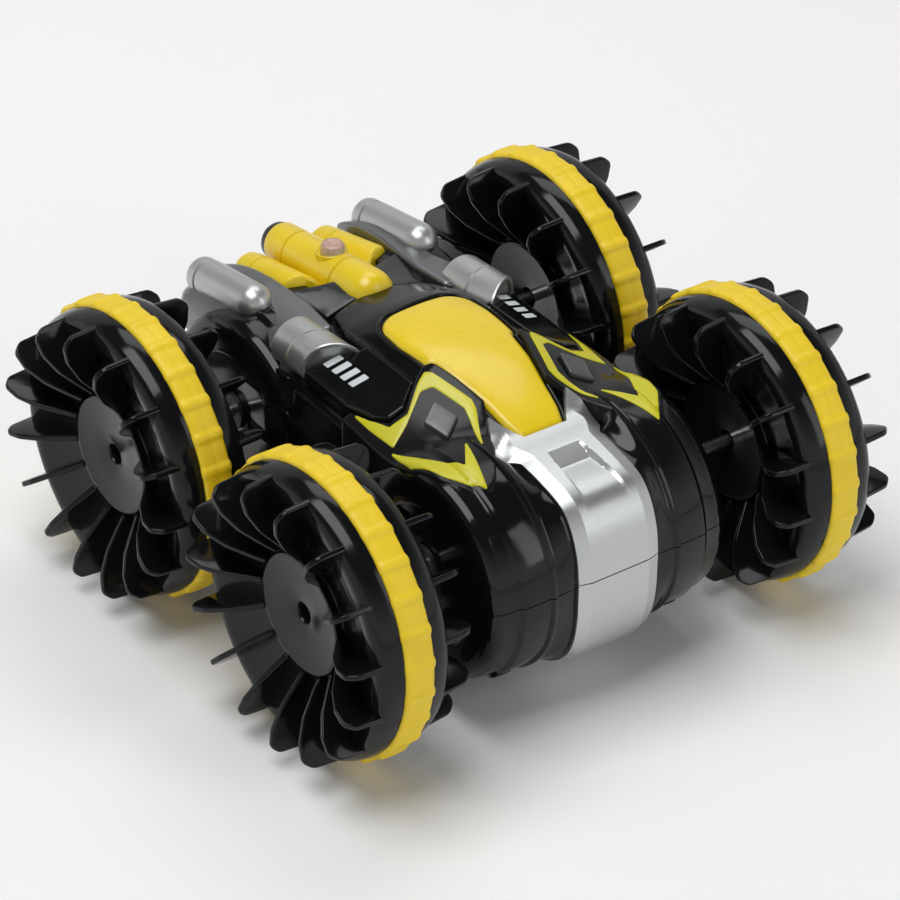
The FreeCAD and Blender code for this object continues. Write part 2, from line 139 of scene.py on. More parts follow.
def gloss_black(name, colour=(0.004, 0.0043, 0.005), rough=0.13, specular=0.28):
    s = Shader(name, colour, rough, specular=specular)
    s.roughen(s.noise(260, 3), 0.03)
    s.tint(s.ranged(s.noise(35, 2), 0, 1), tuple(c * 1.6 for c in colour))
    s.bump(s.noise(90, 2), 0.03, 0.0002)
    return s.mat


def satin_paint(name, colour, rough, metal=0.85):
    s = Shader(name, colour, rough, metal=metal, coat=0.1, coat_rough=0.25)
    s.roughen(s.noise(700, 2), 0.025)
    s.tint(s.ranged(s.noise(24, 2), 0, 1), tuple(c * 0.96 for c in colour))
    s.bump(s.noise(1800, 2), 0.03, 0.00001)
    return s.mat


def moulded(name, colour, rough, grain=1400, strength=0.15, coat=0.0):
    s = Shader(name, colour, rough, coat=coat, coat_rough=0.12)
    s.roughen(s.noise(300, 3), 0.06)
    s.tint(s.ranged(s.noise(60, 3), 0, 1), tuple(c * 0.93 for c in colour))
    s.bump(s.noise(grain, 3), strength, 0.00004)
    return s.mat


def turned_metal(name, colour, rough):
    s = Shader(name, colour, rough, metal=1.0)
    s.roughen(s.noise(500, 2, (1, 30, 1)), 0.08)
    s.bump(s.noise(700, 2, (1, 20, 1)), 0.12, 0.00006)
    return s.mat


def clear_lens(name, colour):
    s = Shader(name, colour, 0.05, ior=1.49)
    s.set("Transmission Weight", 0.85)
    s.roughen(s.noise(400, 2), 0.02)
    s.bump(s.noise(150, 2), 0.04, 0.0002)
    return s.mat


MATS = {
    "hub_black": gloss_black("hub_black"),
    "shell_black": gloss_black("shell_black", (0.003, 0.0034, 0.0038), 0.12, 0.33),
    "shield_black": gloss_black("shield_black", (0.006, 0.006, 0.007), 0.18, 0.22),
    "trim_black": moulded("trim_black", (0.012, 0.012, 0.013), 0.38, coat=0.2),
    "tyre_yellow": moulded("tyre_yellow", (0.84, 0.60, 0.012), 0.48, 1100, 0.2),
    "canopy_yellow": moulded("canopy_yellow", (0.82, 0.60, 0.009), 0.32, 1500, 0.02, coat=0.25),
    "chartreuse": moulded("chartreuse", (0.60, 0.56, 0.007), 0.34, 1500, 0.04, coat=0.1),
    "silver": satin_paint("silver", (0.54, 0.555, 0.555), 0.36, 0.85),
    "gunmetal": satin_paint("gunmetal", (0.20, 0.208, 0.213), 0.30, 0.85),
    "web_dark": satin_paint("web_dark", (0.05, 0.052, 0.055), 0.18, 0.7),
    "shield_grey": satin_paint("shield_grey", (0.10, 0.10, 0.105), 0.34, 0.5),
    "steel": turned_metal("steel", (0.62, 0.62, 0.63), 0.28),
    "brass": turned_metal("brass", (0.72, 0.50, 0.20), 0.26),
    "motor_can": turned_metal("motor_can", (0.60, 0.61, 0.63), 0.24),
    "gear_nylon": moulded("gear_nylon", (0.78, 0.77, 0.72), 0.45),
    "gearbox_grey": moulded("gearbox_grey", (0.09, 0.09, 0.10), 0.48),
    "battery_wrap": moulded("battery_wrap", (0.02, 0.10, 0.36), 0.28, 300, 0.1, coat=0.5),
    "seal_rubber": moulded("seal_rubber", (0.24, 0.05, 0.03), 0.55),
    "board_green": moulded("board_green", (0.01, 0.14, 0.05), 0.30, 900, 0.1, coat=0.4),
    "button_clear": clear_lens("button_clear", (0.97, 0.90, 0.86)),
    "button_gold": satin_paint("button_gold", (0.90, 0.55, 0.46), 0.28, 0.45),
    "print_grey": moulded("print_grey", (0.62, 0.66, 0.68), 0.4),
    # near-black: the door groove's own dark joint, and painted shade in the screw crosses and screw
    # wells
    "seam": moulded("seam", (0.004, 0.004, 0.004), 0.6),
}
SLOT = {s["node"]: s["material_slot"] for s in frame["record"]["subparts"]}


# ------------------------------------------------------------------ mesh helpers
def make(name, bm, material, body, replaced, sharp=38):
    """Turn a bmesh in millimetres into a finished piece that rides on a body."""
    bmesh.ops.scale(bm, vec=(MM, MM, MM), verts=bm.verts)
    bmesh.ops.recalc_face_normals(bm, faces=bm.faces)
    for f in bm.faces:
        f.smooth = True
    for e in bm.edges:
        e.smooth = len(e.link_faces) == 2 and e.calc_face_angle(0) < math.radians(sharp)
    mesh = bpy.data.meshes.new(name)
    bm.to_mesh(mesh)
    bm.free()
    obj = bpy.data.objects.new(name, mesh)
    bpy.context.collection.objects.link(obj)
    mesh.materials.append(MATS[material])
    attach(obj, body)
    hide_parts(*replaced)
    return obj


def ring_faces(bm, a, b, closed=True):
    """Join two rows of vertices; a row may be one vertex repeated, for a pole."""
    n = len(a)
    for i in range(n if closed else n - 1):
        j = (i + 1) % n
        if a[i] is a[j]:
            bm.faces.new((a[i], b[j], b[i]))
        elif b[i] is b[j]:
            bm.faces.new((a[i], a[j], b[i]))
        else:
            bm.faces.new((a[i], a[j], b[j], b[i]))


def smooth_corners(points, radius, step=0.9):
    """Round each corner of a closed outline with an arc and divide the sides evenly."""
    arcs, n = [], len(points)
    for i in range(n):
        p, a, b = (Vector(points[k % n][:2]) for k in (i, i - 1, i + 1))
        r = points[i][2] if len(points[i]) > 2 else radius
        da, db = (a - p), (b - p)
        half = da.angle(db) / 2
        cut = min(r / math.tan(half), da.length * 0.48, db.length * 0.48)
        r = cut * math.tan(half)
        start, end = p + da.normalized() * cut, p + db.normalized() * cut
        turns = max(2, int((math.pi - 2 * half) * r / 0.35))
        centre = p + (da.normalized() + db.normalized()).normalized() * (r / math.sin(half))
        arcs.append([centre + (start.lerp(end, k / turns) - centre).normalized() * r
                     for k in range(turns + 1)])
    out = []
    for arc, following in zip(arcs, arcs[1:] + arcs[:1]):
        gap = following[0] - arc[-1]
        parts = max(1, int(gap.length / step))
        out += arc + [arc[-1] + gap * (k / parts) for k in range(1, parts)]
    tidy = [out[0]]
    for q in out[1:]:
        if (q - tidy[-1]).length > 0.12:
            tidy.append(q)
    if (tidy[0] - tidy[-1]).length < 0.12:
        tidy.pop()
    return tidy


def outward(points):
    """Unit normals, scaled at corners, that point out of a closed outline."""
    n = len(points)
    area = sum(points[i].x * points[(i + 1) % n].y - points[(i + 1) % n].x * points[i].y
               for i in range(n))
    s = 1 if area > 0 else -1
    out = []
    for i in range(n):
        a, b = points[i] - points[i - 1], points[(i + 1) % n] - points[i]
        na, nb = Vector((a.y, -a.x)).normalized() * s, Vector((b.y, -b.x)).normalized() * s
        m = na + nb
        out.append(m / max(0.35, m.length_squared / 2))
    return out


def fillet(radius, steps=4):
    """(inset, drop) pairs from the foot of a rounded edge up to its flat."""
    return [(radius * (1 - math.cos(t)), radius * (1 - math.sin(t)))
            for t in (math.pi / 2 * k / steps for k in range(steps + 1))]


def plate(bm, outline, thick, radius, place):
    """A flat plate with rounded rims on both faces.  place maps (u, v, w) to 3-D."""
    normals = outward(outline)
    rings = []
    steps = fillet(radius, 3)
    for w_sign, order in ((-1, steps[::-1]), (1, steps)):
        for inset, drop in order:
            w = w_sign * (thick / 2 - drop)
            rings.append([bm.verts.new(place(p.x - m.x * inset, p.y - m.y * inset, w))
                          for p, m in zip(outline, normals)])
    for a, b in zip(rings, rings[1:]):
        ring_faces(bm, a, b)
    bm.faces.new(rings[0])
    bm.faces.new(rings[-1])


def lathe(bm, profile, centre, y_sign, segments=144, arc=(0, 360), bumps=None):
    """Turn a closed (r, out) outline about a line along Y through centre = (x, y, z)."""
    full_turn = arc[1] - arc[0] >= 360
    count = segments if full_turn else segments + 1
    rings = []
    for k in range(count):
        a = math.radians(arc[0] + (arc[1] - arc[0]) * k / segments)
        ring = []
        for r, out in profile:
            if bumps:
                r, out = bumps(a, r, out)
            ring.append(bm.verts.new((centre[0] + r * math.cos(a), centre[1] + y_sign * out,
                                      centre[2] + r * math.sin(a))))
        rings.append(ring)
    for k in range(count if full_turn else count - 1):
        ring_faces(bm, rings[k], rings[(k + 1) % count])
    if not full_turn:
        bm.faces.new(rings[0])
        bm.faces.new(rings[-1])


def curve_through(points, steps=6):
    """Catmull-Rom points through a short list, for profiles with a flowing shape."""
    p = [Vector(q) for q in points]
    p = [p[0] * 2 - p[1]] + p + [p[-1] * 2 - p[-2]]
    out = []
    for i in range(1, len(p) - 2):
        for k in range(steps):
            t = k / steps
            out.append(0.5 * ((2 * p[i]) + (p[i + 1] - p[i - 1]) * t +
                              (2 * p[i - 1] - 5 * p[i] + 4 * p[i + 1] - p[i + 2]) * t * t +
                              (3 * p[i] - p[i - 1] - 3 * p[i + 1] + p[i + 2]) * t ** 3))
    return [tuple(q) for q in out + [p[-2]]]


# ------------------------------------------------------------------------ wheels
def hub_half(name, node, cx, cy, sign, turn, body):
    """One black half of a wheel: a dished disc in a trough, and the paddles in it."""
    bm = bmesh.new()
    trough = curve_through([(DISC_R + 0.9, 7.7), (26, 8.8), (32, 10.3), (38, 12.0),
                            (42, 13.1), (44.6, 13.1), (46.6, 11.9), (47.9, 9.6), (48.5, 7.2),
                            (48.7, TYRE_W / 2 + 0.2)], 4)
    profile = [(3.3, 4.5), (3.3, 8.0), (3.7, 8.6), (4.4, 8.8), (12, 9.5), (DISC_R - 1.4, 10.3),
               (DISC_R - 0.6, 10.45), (DISC_R - 0.1, 10.2), (DISC_R + 0.05, 9.6),
               (DISC_R + 0.15, 7.9), (DISC_R + 0.5, 7.6)] + trough + [
        (47.6, TYRE_W / 2 + 0.05), (46.6, 4.4), (46.4, 0.05), (44.7, 0.05), (44.7, 5.0),
        (44.0, 9.5), (42, 11.2), (36, 9.8), (28, 7.4), (19.0, 6.0), (17, 7.0), (5.2, 6.6),
        (5.2, 0.1), (2.1, 0.1), (2.1, 4.5)]
    lathe(bm, profile, (cx, cy, 0), sign)
    outline = smooth_corners([(DISC_R + 0.5, 10.4, 0.6), (24, 13.4, 8), (30.5, 19.0, 12),
                              (37.5, 22.7, 6), (43.4, FIN_OUT + 0.1, 3.2), (46.4, 20.4, 4),
                              (47.3, 9.0, 1.0), (46.0, 8.0), (36, 9.0), (DISC_R + 0.5, 6.4)],
                             0.5, 1.6)
    for k in range(FINS):
        a = math.radians(turn + 360.0 / FINS * k)
        radial, side = (math.cos(a), math.sin(a)), (-math.sin(a), math.cos(a))

        def place(u, v, w):
            w *= 1.2 - 0.012 * (v - 8)
            return (cx + radial[0] * u + side[0] * w, cy + sign * v,
                    radial[1] * u + side[1] * w)
        plate(bm, outline, 1.8, 0.5, place)
    make(name, bm, "hub_black", body, [node])


def tread(name, node, cx, cy, body):
    """Rubber band: crowned, with a rounded rib every so often and a faint middle seam."""
    bm = bmesh.new()
    half = TYRE_W / 2
    base = [(46.6, -half + 0.5), (47.2, -half), (49.0, -half + 0.1), (49.6, -half + 0.6),
            (49.95, -half + 1.6), (50.05, -2.2), (50.1, -0.25), (50.02, 0), (50.1, 0.25),
            (50.05, 2.2), (49.95, half - 1.6), (49.6, half - 0.6), (49.0, half - 0.1),
            (47.2, half), (46.6, half - 0.5)]
    per_rib = 20

    def ribs(a, r, out):
        phase = (a / (2 * math.pi) * RIBS) % 1.0
        d = abs(phase - 0.5) * (2 * math.pi * TYRE_R / RIBS)
        lift = 0.5 * (1 + math.cos(math.pi * min(1.0, max(0.0, (d - 0.5) / 1.9))))
        lift = lift if r > 47 else 0.0
        return r + 0.62 * lift, out * (1 + 0.045 * lift)
    lathe(bm, base, (cx, cy, 0), 1, segments=RIBS * per_rib, bumps=ribs)
    make(name, bm, "tyre_yellow", body, [node], sharp=60)


def build_wheels():
    for name, joint in ((j["name"][len("wheel_spin_"):], j) for j in JOINTS.values()
                        if j["name"].startswith("wheel_spin_")):
        cx, cy = joint["pos_m"][0] / MM, joint["pos_m"][1] / MM
        out, body = (1 if cy > 0 else -1), joint["child"]
        hub_half("rim_outer_" + name, "hub_outer_" + name, cx, cy, out, PADDLE_ANGLE[name], body)
        hub_half("rim_inner_" + name, "hub_inner_" + name, cx, cy, -out, PADDLE_ANGLE[name], body)
        tread("tread_" + name, "tyre_" + name, cx, cy, body)


# ------------------------------------------------------------------- body shapes
def flow(*table):
    """A smooth function through (x, value) pairs that stays level past both ends."""
    last = len(table) - 1

    def slope(i):
        (xa, a), (xb, b) = table[max(i - 1, 0)], table[min(i + 1, last)]
        return (b - a) / (xb - xa)

    def at(x):
        if x <= table[0][0]:
            return table[0][1]
        for i in range(last):
            (x0, a), (x1, b) = table[i], table[i + 1]
            if x <= x1:
                h, t = x1 - x0, (x - x0) / (x1 - x0)
                return ((1 + 2 * t) * (1 - t) ** 2 * a + t * (1 - t) ** 2 * h * slope(i) +
                        t * t * (3 - 2 * t) * b + t * t * (t - 1) * h * slope(i + 1))
        return table[-1][1]
    return at


def ramp(x, low, high):
    t = min(1.0, max(0.0, (x - low) / (high - low)))
    return t * t * (3 - 2 * t)


def higher(a, b, blend):
    """The larger of two heights, with the crease between them rounded."""
    return (a + b + math.hypot(a - b, blend)) / 2 - blend / 4


canopy_ridge = flow((-16, 43.4), (-8, 44.6), (0, 45.0), (12, 44.7), (24, 42.7), (34, 39.7),
                    (44, 35.8), (53, 31.4))
hood_ridge = flow((-38.5, 37.2), (-28, 40.0), (-20, 42.2), (-12, 43.2), (0, 43.7), (12, 43.3),
                  (24, 41.3), (34, 38.2), (44, 34.2), (53, 29.8))


def canopy_z(x, y):
    return canopy_ridge(x) - 2.2 * (abs(y) / 17) ** 2.4


def hood_z(x, y):
    return hood_ridge(x) - 2.2 * (abs(y) / 17) ** 2.4


def barrel_z(x, y):
    step = 1.5 * ramp(y, 35.0, 36.8) + 3.0 * ramp(y, 43.0, 46.5)
    return BARREL_Z + math.sqrt(max(1.0, (BARREL_R - step) ** 2 - (abs(x) - AXLE_X) ** 2))


def shield_z(x, y):
    forward = min(1.0, max(0.0, (x - 18) / 42))
    slanted = 43.2 - 0.334 * max(0.0, x - 18) - (0.58 - 0.45 * forward) * (y - 19.8)
    return higher(slanted, barrel_z(x, y) + 0.5, 2.0)


def shoulder_z(x, y):
    across = flow((20, 36.2), (28, 34.6), (36, 32.2), (41, 29.4), (45, 24.5))(y)
    along = flow((-97, 12.5), (-93, 8.0), (-86, 4.2), (-77, 1.4), (-66, 0.0))(x)
    return across - along


def rail_z(x, y):
    return 37.9 - 0.41 * (y - 26.2) - 1.2 * ramp(y, 39.5, 42.5)


def inside(p, outline, margin):
    """True where p is inside an outline and at least the margin away from it."""
    hit, n = False, len(outline)
    for i in range(n):
        a, b = outline[i - 1], outline[i]
        if (a.y > p.y) != (b.y > p.y) and p.x < (b.x - a.x) * (p.y - a.y) / (b.y - a.y) + a.x:
            hit = not hit
        along = b - a
        t = min(1.0, max(0.0, (p - a).dot(along) / max(1e-9, along.length_squared)))
        if (p - a - along * t).length < margin:
            return False
    return hit


def pillow(bm, outline, top, floor, rim=1.0, side=1, grid=2.0, steps=4):
    """A panel with walls up from a level floor, a rounded rim and a flowing top."""
    normals = outward(outline)
    rings = [[bm.verts.new((p.x, side * p.y, floor)) for p in outline]]
    for inset, drop in fillet(rim, steps):
        ring = []
        for p, m in zip(outline, normals):
            q = p - m * inset
            ring.append(bm.verts.new((q.x, side * q.y, top(q.x, q.y) - drop)))
        rings.append(ring)
    for a, b in zip(rings, rings[1:]):
        ring_faces(bm, a, b)
    bm.faces.new(rings[0])
    edge = [Vector((v.co.x, side * v.co.y)) for v in rings[-1]]
    low = [min(p[k] for p in edge) for k in (0, 1)]
    high = [max(p[k] for p in edge) for k in (0, 1)]
    fill = []
    for i in range(int((high[0] - low[0]) / grid) + 1):
        for j in range(int((high[1] - low[1]) / grid) + 1):
            p = Vector((low[0] + (i + 0.5 + 0.5 * (j % 2)) * grid, low[1] + (j + 0.5) * grid))
            if inside(p, edge, grid * 0.45):
                fill.append(p)
    count = len(edge)
    found = geometry.delaunay_2d_cdt(edge + fill, [(k, (k + 1) % count) for k in range(count)],
                                     [], 1, 1e-6)
    spots, faces, source = found[0], found[2], found[3]
    verts = []
    for p, origin in zip(spots, source):
        known = [k for k in origin if k < count]
        verts.append(rings[-1][known[0]] if known else
                     bm.verts.new((p.x, side * p.y, top(p.x, p.y))))
    for f in faces:
        if len({verts[k] for k in f}) > 2:
            bm.faces.new([verts[k] for k in f])


def whole(half):
    """Close a right-left symmetric outline from its left half."""
    return half + [(p[0], -p[1], *p[2:]) for p in half[::-1] if abs(p[1]) > 1e-6]


def turned(bm, profile, start, heading, segments=64):
    """Turn (r, along) points about any line; the profile's ends close on the line."""
    axis = Vector(heading).normalized()
    side = axis.cross(Vector((0, 1, 0))).normalized()
    up = side.cross(axis)
    rings = []
    for r, t in profile:
        base = Vector(start) + axis * t
        if r < 1e-6:
            rings.append([bm.verts.new(base)] * segments)
            continue
        rings.append([bm.verts.new(base + (side * math.cos(a) + up * math.sin(a)) * r)
                      for a in (math.radians(360 * k / segments) for k in range(segments))])
    for a, b in zip(rings, rings[1:]):
        ring_faces(bm, a, b)


def tube(bm, path, radius):
    """A round bead along a closed run of 3-D points."""
    n, rings, sides = len(path), [], 10
    for i, p in enumerate(path):
        axis = (Vector(path[(i + 1) % n]) - Vector(path[i - 1])).normalized()
        side = axis.cross(Vector((0, 0, 1))).normalized()
        up = side.cross(axis)
        rings.append([bm.verts.new(Vector(p) + (side * math.cos(a) + up * math.sin(a)) * radius)
                      for a in (2 * math.pi * k / sides for k in range(sides))])
    for i in range(n):
        ring_faces(bm, rings[i], rings[(i + 1) % n])


def side_slab(bm, outline, half_width, rim=2.0, radius=2.0):
    """A block whose side view is the outline, with its long edges rounded."""
    plate(bm, smooth_corners(outline, radius, 2.0), 2 * half_width, rim,
          lambda u, v, w: (u, w, v))


# ------------------------------------------------------------------- shell pieces
CANOPY = [(-15.6, 0), (-16.4, 16.8, 9.0), (0, 18.2, 20), (13.6, 17.2, 0.5), (15.4, 15.6, 1.0),
          (26, 14.4, 8), (38, 11.6, 6), (46, 10.4, 8), (52.8, 8.2, 2.0), (52.8, 0)]


def canopy_outline(grow=0.0):
    line = smooth_corners([p for p in whole(CANOPY) if abs(p[1]) > 1e-6], 1.0, 1.6)
    return [p + m * grow for p, m in zip(line, outward(line))]


def build_canopy():
    bm = bmesh.new()
    pillow(bm, canopy_outline(), canopy_z, 28.0, rim=2.2, grid=1.8, steps=6)
    make("canopy_dome", bm, "canopy_yellow", "body", ["canopy"])
    bm = bmesh.new()
    rim = [(p.x, p.y, hood_z(p.x, p.y) + 0.15) for p in canopy_outline(0.95)]
    tube(bm, rim, 0.75)
    make("canopy_bead", bm, "shell_black", "body", ["upper_shell"])


def build_hood():
    bm = bmesh.new()
    half = [(-38.6, 9.0, 2), (-36.6, 18.6, 3.0), (-24, 22.6, 12), (0, 24.4, 30), (14, 23.6, 6),
            (30, 19.5, 10), (53, 15.5, 3)]
    pillow(bm, smooth_corners(whole(half), 2.0, 1.6), hood_z, 20.0, rim=2.4, grid=2.0, steps=5)
    make("hood", bm, "shell_black", "body", ["upper_shell"])


def bow_radius(angle):
    """How far the underside of the guard is from the front barrel's middle, at an angle."""
    spots = [(math.atan2(z - BARREL_Z, x - AXLE_X), math.hypot(x - AXLE_X, z - BARREL_Z))
             for x, z in NOSE_LINE]
    angle = math.atan2(math.sin(angle), math.cos(angle))
    for (a0, r0), (a1, r1) in zip(spots, spots[1:]):
        if a1 <= angle <= a0 and a0 - a1 < math.pi:
            return r0 + (r1 - r0) * (a0 - angle) / (a0 - a1) - GUARD_STEP
    return spots[0 if angle > 0 else -1][1] - GUARD_STEP


def build_barrels():
    def flush(a, r, out):
        """The front barrels rise or dip to lie just under the edge of the guard."""
        x, top = AXLE_X + r * math.cos(a), math.sin(a) > 0
        if r < BARREL_R - 6 or x < 40:
            return r, out
        reach = nose_width(x) if top else NOSE_Y
        target = bow_radius(a) - (facet_drop(x) if top else FACET_DROP)
        beside = (1 - ramp(out, reach + 0.5, BEAD_Y)) * ramp(x, 40, 50)
        return r + (target - r) * beside, out
    half = [(0.5, 14.0)] + [(BARREL_R, 14.0 + 0.8 * k) for k in range(12)] + [
            (BARREL_R + 0.15, 23.3),
            (BARREL_R + 0.75, 23.8), (BARREL_R + 0.85, 24.5), (BARREL_R + 0.3, 25.3),
            (BARREL_R - 0.1, 25.6), (BARREL_R - 0.15, 35.0), (BARREL_R - 0.35, 35.6),
            (BARREL_R - 1.2, 36.5), (BARREL_R - 1.55, 37.2), (BARREL_R - 1.7, 41.0),
            (BARREL_R - 2.3, 43.2), (BARREL_R - 3.4, 44.8), (BARREL_R - 5.2, 45.8),
            (BARREL_R - 7.6, 46.2), (24, 46.2), (23.2, 45.6), (10, 45.6), (9.2, 46.2),
            (5.6, 46.2), (5.6, 44.0), (0.5, 44.0)]
    split = math.degrees(math.asin(-BARREL_Z / BARREL_R))
    for end, sx in (("front", 1), ("rear", -1)):
        for side, sy in SIDES.items():
            for shell, arc in (("upper_shell", (split + 0.25, 180 - split - 0.25)),
                               ("lower_shell", (180 - split + 0.25, 360 + split - 0.25))):
                bm = bmesh.new()
                lathe(bm, half, (sx * AXLE_X, 0, BARREL_Z), sy, segments=160, arc=arc,
                      bumps=flush if sx > 0 else None)
                make("barrel_%s_%s_%s" % (shell[:5], end, side), bm, "shell_black", "body",
                     [shell], sharp=30)


def build_deck():
    """The middle of the body between the barrels, with its rails and stepped sides."""
    bm = bmesh.new()
    upper = [(0, 32.4), (29, 32.0), (39, 28.5), (44.4, 22.5), (BODY_Y - 0.4, 14), (BODY_Y, 0.15),
             (0, 0.15)]
    section = smooth_corners(upper[1:-1] + [(-y, z) for y, z in upper[1:-1][::-1]], 2.4, 2.4)
    plate(bm, section, DECK_LENGTH, 1.5, lambda u, v, w: (DECK_MID + w, u, v))
    make("deck", bm, "shell_black", "body", ["upper_shell"])
    bm = bmesh.new()
    lower = [(BODY_Y, -0.15), (BODY_Y, -20), (42, -34), (36.5, -39.9)]
    section = smooth_corners(lower + [(-y, z) for y, z in lower[::-1]], 3.0, 2.4)
    plate(bm, section, DECK_LENGTH, 1.5, lambda u, v, w: (DECK_MID + w, u, v))
    make("belly", bm, "shell_black", "body", ["lower_shell"])
    for side, sy in SIDES.items():
        bm = bmesh.new()
        rail = smooth_corners([(-9.5, 23.5), (-19.8, 41.8), (4, 42), (16, 39.5), (21, 37),
                               (21.5, 31.5), (16.8, 25), (16, 23.5)], 0.9, 1.8)
        pillow(bm, rail, rail_z, 22.0, rim=0.9, side=sy, grid=2.4)
        make("rail_" + side, bm, "shell_black", "body", ["upper_shell"])
        bm = bmesh.new()
        for x in (-14.5, -9.9, -5.3, -0.7):
            dash = [(x, 31.0), (x + 2.8, 31.0), (x + 1.4, 36.5), (x - 1.4, 36.5)]
            pillow(bm, smooth_corners(dash, 0.3, 1.2), lambda x, y: rail_z(x, y) + 0.06, 30.0,
                   rim=0.05, side=sy, grid=1.4, steps=1)
        make("rail_dashes_" + side, bm, "print_grey", "body", ["upper_shell"])
        for k, (block, height, level) in enumerate((
                ([(-47, 31), (-48, 43.6), (-26, 43.2), (-23.5, 31)], 26.0, 3.0),
                ([(-18, 31), (-21, 44.8), (30, 45.4), (30, 31)], 25.2, 3.0),
                ([(-34, 38), (-36, 46.4), (-22, 46.4), (-20, 38)], 16.0, 2.0))):
            bm = bmesh.new()
            pillow(bm, smooth_corners(block, 1.0, 2.2), lambda x, y: height - 0.05 * (y - 31),
                   level, rim=0.7, side=sy, grid=3.0)
            make("side_step_%s_%d" % (side, k + 1), bm, "shell_black", "body", ["upper_shell"])


def build_tail():
    upper = [(-40, 0.2), (-91.6, 0.2), (-90.8, 7), (-88, 13), (-83, 17.5), (-74, 20.6), (-40, 21)]
    lower = [(-40, -0.2), (-91.8, -0.2), (-91, -14), (-88.6, -23), (-83, -30.5), (-75, -36),
             (-64, -39.4), (-40, -39.8)]
    for name, outline, node in (("tail_upper", upper, "upper_shell"),
                                ("tail_lower", lower, "lower_shell")):
        bm = bmesh.new()
        side_slab(bm, outline, TAIL_Y, 1.6, 2.5)
        make(name, bm, "shell_black", "body", [node])
    bow = [(40, -0.4), (90.6, -0.4), (90.4, -14), (88, -23), (82, -31), (74, -36.6),
           (64, -39.6), (40, -39.8)]
    bm = bmesh.new()
    side_slab(bm, bow, NOSE_Y - 0.2, 1.0, 2.5)
    make("bow_core_lower", bm, "shell_black", "body", ["lower_shell"])
    bow = [(40, 0.4), (90.6, 0.4), (89.4, 9), (85.4, 17), (79.5, 23.4), (71, 27.0), (56, 29.0),
           (40, 29.0)]
    bm = bmesh.new()
    side_slab(bm, bow, NOSE_Y - 0.2, 1.0, 2.5)
    make("bow_core_upper", bm, "shell_black", "body", ["upper_shell"])


def screw_head(bm_steel, bm_cross, x, y, z, r):
    """A domed cross-head screw seen from below; its face is at height z."""
    turned(bm_steel, [(0, 2.0), (r, 2.0), (r, 0.6), (r * 0.86, 0.2), (r * 0.55, 0), (0, 0)],
           (x, y, z), (0, 0, 1), 40)
    # the cross recess is not cut: a near-black cross plate on the face is painted shade of the
    # recess
    for across in (0, 1):
        arm = [(-r * 0.55, -0.28), (r * 0.55, -0.28), (r * 0.55, 0.28), (-r * 0.55, 0.28)]
        arm = [(v, u) if across else (u, v) for u, v in arm]
        plate(bm_cross, [Vector(p) for p in arm], 0.3, 0.05,
              lambda u, v, w: (x + u, y + v, z + 0.1 + w))


def build_underside():
    """Battery door with its groove and screws, and the rims of the shell screws' wells."""
    for name, half_x, half_y, low, material, node, thick in (
            ("door_groove", 17.5, 31.5, BELLY_Z, "seam", "lower_shell", 1.0),
            ("door_panel", 16.75, 30.75, -40.5, "shell_black", "battery_door", 2.4),
            ("door_grip", 9.0, 1.6, -40.9, "shell_black", "battery_door", 1.0)):
        bm = bmesh.new()
        corners = [(half_x, half_y), (-half_x, half_y), (-half_x, -half_y), (half_x, -half_y)]
        plate(bm, smooth_corners(corners, min(2.4, half_y), 4.0), thick, 0.45,
              lambda u, v, w: (u, v, low + thick / 2 + w))
        make(name, bm, material, "body", [node])
    heads, crosses = bmesh.new(), bmesh.new()
    for sy in SIDES.values():
        screw_head(heads, crosses, 0, sy * 26.6, -40.75, 2.3)
    make("door_screw_heads", heads, "steel", "body", ["door_screws"])
    make("door_screw_cross_shade", crosses, "seam", "body", ["door_screws"])
    for side, sy in SIDES.items():
        for where, x, y, z, normal in (("rear", -76, 33, -34.4, (-0.6, 0, -0.8)),
                                       ("middle", 0, 40, -36.4, (0, sy * 0.73, -0.68)),
                                       ("front", 76, 33, -34.4, (0.6, 0, -0.8))):
            rim, well = bmesh.new(), bmesh.new()
            turned(rim, [(0, -2), (3.6, -2), (3.6, 0.1), (3.4, 0.3), (2.9, 0.3),
                         (WELL_R + 0.05, 0.15), (WELL_R, 0.1), (0, 0.1)],
                   (x, sy * y, z), normal, 48)
            make("screw_boss_%s_%s" % (where, side), rim, "shell_black", "body",
                 ["lower_shell"])
            # the well is not cut: a near-black disc over the well's width is painted shade of the
            # hole
            dark = WELL_R - 0.02
            turned(well, [(0, -1), (dark, -1), (dark, 0.16), (0, 0.16)],
                   (x, sy * y, z), normal, 48)
            make("screw_well_shade_%s_%s" % (where, side), well, "seam", "body", ["lower_shell"])


# -------------------------------------------------------------------- silver nose
NOSE_TOP = curve_through([(43.4, 37.6), (47, 35.4), (51, 33.4), (55, 32.5), (61, 31.6),
                          (70, 30.0), (79, 27.8), (84.6, 24.8), (89.2, 18.6), (92.2, 10.5),
                          (93.4, 1.75)], 10)
NOSE_LOW = curve_through([(93.4, 1.3), (93.2, -12), (91.4, -22), (87.4, -29.6), (80.5, -35.6),
                          (71, -39.8), (60, -41.6), (44, -42.0)], 10)
NOSE_LINE = NOSE_TOP + NOSE_LOW
NOSE_FREE = 61.0             # ahead of here the guard keeps one width
CREASE = 0.72                # where the bright side facets start, as a part of the width
FACET_DROP = 1.3
GUARD_STEP = 1.2             # how far the guard's edge stands proud of the barrels
RECESS_REAR, RECESS_FRONT = 62.3, 86.0
RECESS_EDGE, RECESS_WALL = 0.41, 0.065


def nose_width(x):
    return flow((43.4, 15.2), (47, 17.2), (52, 19.2), (54.6, 19.7), (57.4, 18.4), (61, 15.7),
                (64, NOSE_Y), (95, NOSE_Y))(x)


def facet_drop(x):
    """How far the edge of a side facet lies under the guard's top, along the car."""
    return flow((48, 0), (54.2, 4.2), (58, 2.7), (61.5, 1.7), (68, FACET_DROP))(x)


